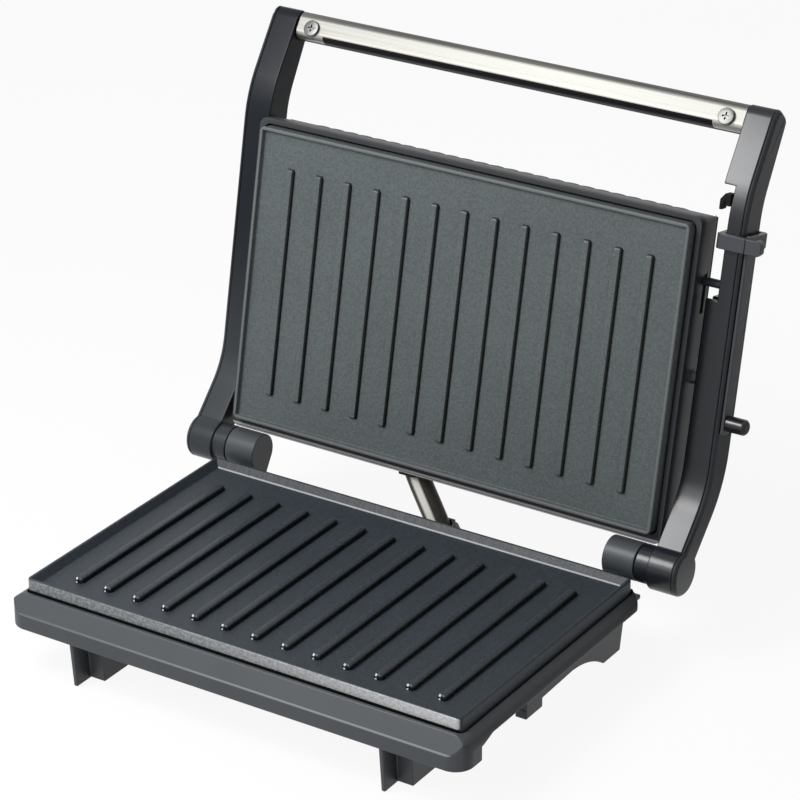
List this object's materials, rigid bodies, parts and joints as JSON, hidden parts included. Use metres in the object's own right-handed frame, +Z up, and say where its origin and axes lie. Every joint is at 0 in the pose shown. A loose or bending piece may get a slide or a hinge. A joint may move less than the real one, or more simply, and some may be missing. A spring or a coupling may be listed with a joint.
{
  "type": "panini press",
  "caption": "Open contact grill for toasted sandwiches: ridged non-stick plates in a dark plastic base and a lid swung on side arms with a stainless handle.",
  "frame": {"origin": "under the middle of the open press, on the table", "axes": "+X to the right as seen from the front, +Y to the back, +Z up"},
  "size_m": [0.2804, 0.2472, 0.2422],
  "materials": {
    "body_plastic": "satin, finely textured",
    "gloss_black": "polished",
    "plate_coating": "dark non-stick coating on cast aluminium",
    "stainless": "brushed lengthways",
    "plated_steel": "plain plated",
    "conduit_steel": "flexible metal sleeve",
    "ceramic": "unglazed ceramic",
    "rubber": "matte",
    "lamp": "translucent, tinted"
  },
  "bodies": {
    "base": {"base_housing": "body_plastic", "lower_plate": "plate_coating", "lower_heater": "plated_steel", "lower_reflector": "plated_steel", "lower_plate_screws": "plated_steel", "bottom_cover": "plated_steel", "thermostat": "ceramic", "thermal_fuse": "ceramic", "terminal_block": "ceramic", "inlet_bushing": "rubber", "base_gland": "rubber", "left_hinge_pin": "plated_steel", "right_hinge_pin": "plated_steel", "conduit": "conduit_steel"},
    "lid": {"left_arm": "body_plastic", "right_arm": "body_plastic", "left_arm_cover": "body_plastic", "right_arm_cover": "body_plastic", "handle_core": "body_plastic", "handle_shell": "stainless", "handle_screws": "stainless", "pivot_pins": "plated_steel", "keeper_hook": "gloss_black", "lid_housing": "body_plastic", "lid_cover": "body_plastic", "lamp_lenses": "lamp", "lid_gland": "rubber", "upper_plate": "plate_coating", "upper_heater": "plated_steel", "upper_reflector": "plated_steel", "upper_plate_screws": "plated_steel"},
    "latch": {"latch_slide": "gloss_black", "latch_knob": "gloss_black"}
  },
  "joints": [
    {"name": "lid_swing", "type": "hinge", "parent": "base", "child": "lid", "pos_m": [-0.006, 0.0421, 0.0457], "axis": [1, 0, 0], "range_deg": [0, 101.6], "deforming": ["conduit"]},
    {"name": "lock_slide", "type": "slide", "parent": "lid", "child": "latch", "axis": [0, -0.2011, -0.9796], "range_m": [0, 0.012]}
  ]
}
